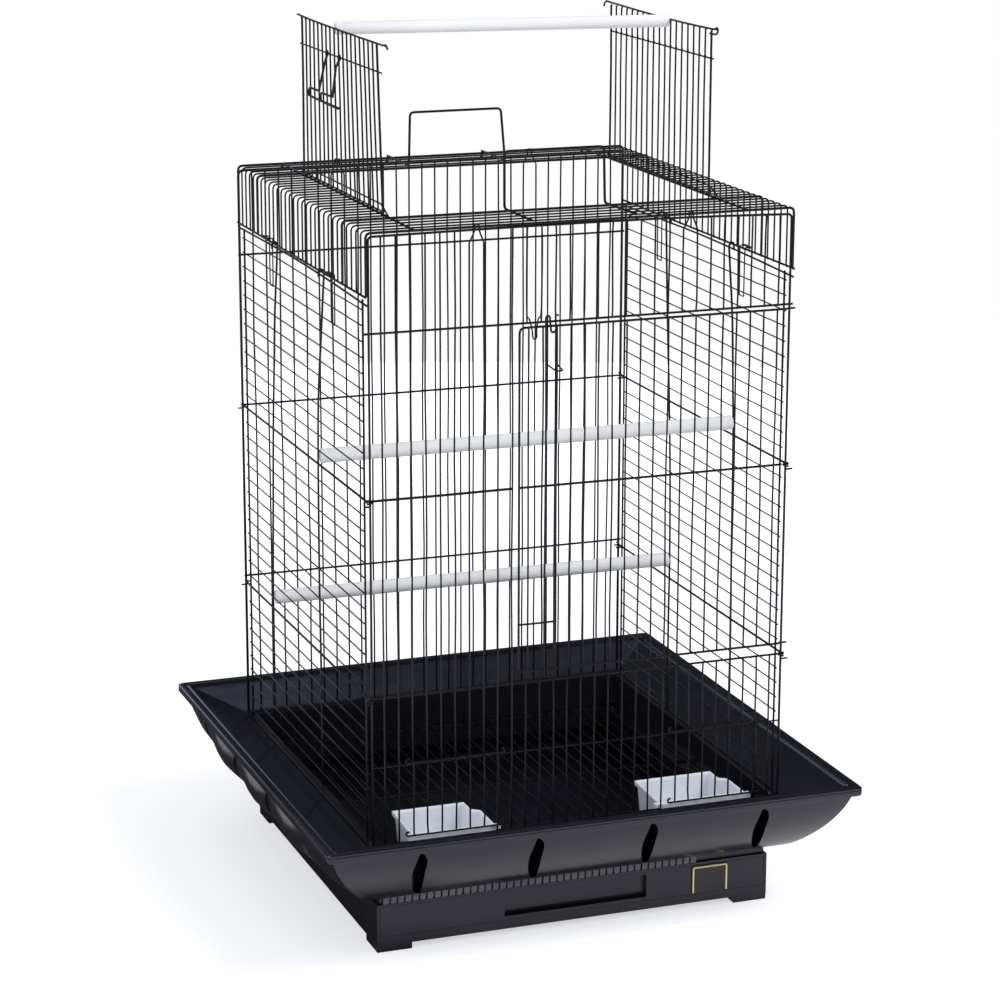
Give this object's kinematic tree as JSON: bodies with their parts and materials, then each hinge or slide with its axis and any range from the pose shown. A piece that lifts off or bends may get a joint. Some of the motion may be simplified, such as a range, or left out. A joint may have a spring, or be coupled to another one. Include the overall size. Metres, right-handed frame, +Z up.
{
  "type": "play top bird cage",
  "caption": "Square wire bird cage with an opening play roof, front door, feeder doors, flared seed skirt and pull-out tray.",
  "frame": {"origin": "centre of the square footprint, at the underside of the four feet", "axes": "+Z up, the front with the door and drawer faces -Y, +X to the right seen from the front"},
  "size_m": [0.59, 0.59, 0.9297],
  "materials": {
    "black_plastic": "glossy black injection-moulded plastic",
    "black_wire": "black powder-coated steel wire",
    "perch_grey": "light grey satin plastic rod",
    "cup_white": "white moulded plastic",
    "label_dark": "bare dark plate, no print"
  },
  "bodies": {
    "cage": {"base_stand": "black_plastic", "seed_skirt": "black_plastic", "bottom_grille": "black_wire", "front_panel": "black_wire", "back_panel": "black_wire", "left_panel": "black_wire", "right_panel": "black_wire", "roof_panel": "black_wire", "front_carry_hoop": "black_wire", "back_carry_hoop": "black_wire", "upper_perch": "perch_grey", "lower_perch": "perch_grey", "left_upper_perch_wire": "black_wire", "right_upper_perch_wire": "black_wire", "left_lower_perch_wire": "black_wire", "right_lower_perch_wire": "black_wire"},
    "tray": {"pull_out_tray": "black_plastic", "label_plate": "label_dark"},
    "front_door": {"front_door": "black_wire"},
    "front_latch": {"front_door_latch": "black_wire"},
    "left_feeder": {"left_feeder_door": "black_wire"},
    "right_feeder": {"right_feeder_door": "black_wire"},
    "left_seed_cup": {"left_cup": "cup_white"},
    "right_seed_cup": {"right_cup": "cup_white"},
    "left_play": {"left_play_door": "black_wire"},
    "right_play": {"right_play_door": "black_wire"},
    "play_latch": {"play_door_latch": "black_wire"},
    "top_perch": {"play_perch": "perch_grey"}
  },
  "joints": [
    {"name": "tray_slide", "type": "slide", "parent": "cage", "child": "tray", "axis": [0, -1, 0], "range_m": [0, 0.4]},
    {"name": "front_door_hinge", "type": "hinge", "parent": "cage", "child": "front_door", "pos_m": [0.2232, -0.2286, 0.47], "axis": [0, 0, 1], "range_deg": [0, 110]},
    {"name": "front_latch_lift", "type": "slide", "parent": "front_door", "child": "front_latch", "axis": [0, 0, 1], "range_m": [0, 0.01]},
    {"name": "left_feeder_lift", "type": "slide", "parent": "cage", "child": "left_feeder", "axis": [0, 0, 1], "range_m": [0, 0.065]},
    {"name": "right_feeder_lift", "type": "slide", "parent": "cage", "child": "right_feeder", "axis": [0, 0, 1], "range_m": [0, 0.065]},
    {"name": "left_cup_lift", "type": "slide", "parent": "cage", "child": "left_seed_cup", "axis": [0, 0, 1], "range_m": [0, 0.055]},
    {"name": "right_cup_lift", "type": "slide", "parent": "cage", "child": "right_seed_cup", "axis": [0, 0, 1], "range_m": [0, 0.055]},
    {"name": "left_play_door_hinge", "type": "hinge", "parent": "cage", "child": "left_play", "pos_m": [-0.178, 0, 0.7555], "axis": [0, 1, 0], "range_deg": [0, 90]},
    {"name": "right_play_door_hinge", "type": "hinge", "parent": "cage", "child": "right_play", "pos_m": [0.178, 0, 0.7555], "axis": [0, -1, 0], "range_deg": [0, 90]},
    {"name": "play_latch_hinge", "type": "hinge", "parent": "left_play", "child": "play_latch", "pos_m": [-0.1806, 0, 0.8945], "axis": [0, 1, 0], "range_deg": [0, 90]},
    {"name": "play_perch_lift", "type": "slide", "parent": "cage", "child": "top_perch", "axis": [0, 0, 1], "range_m": [0, 0.268]}
  ],
  "couplings": [
    {"joint": "right_play_door_hinge", "follows": "left_play_door_hinge", "ratio": 1},
    {"joint": "play_perch_lift", "follows": "left_play_door_hinge", "m_per_rad": 0.17}
  ]
}
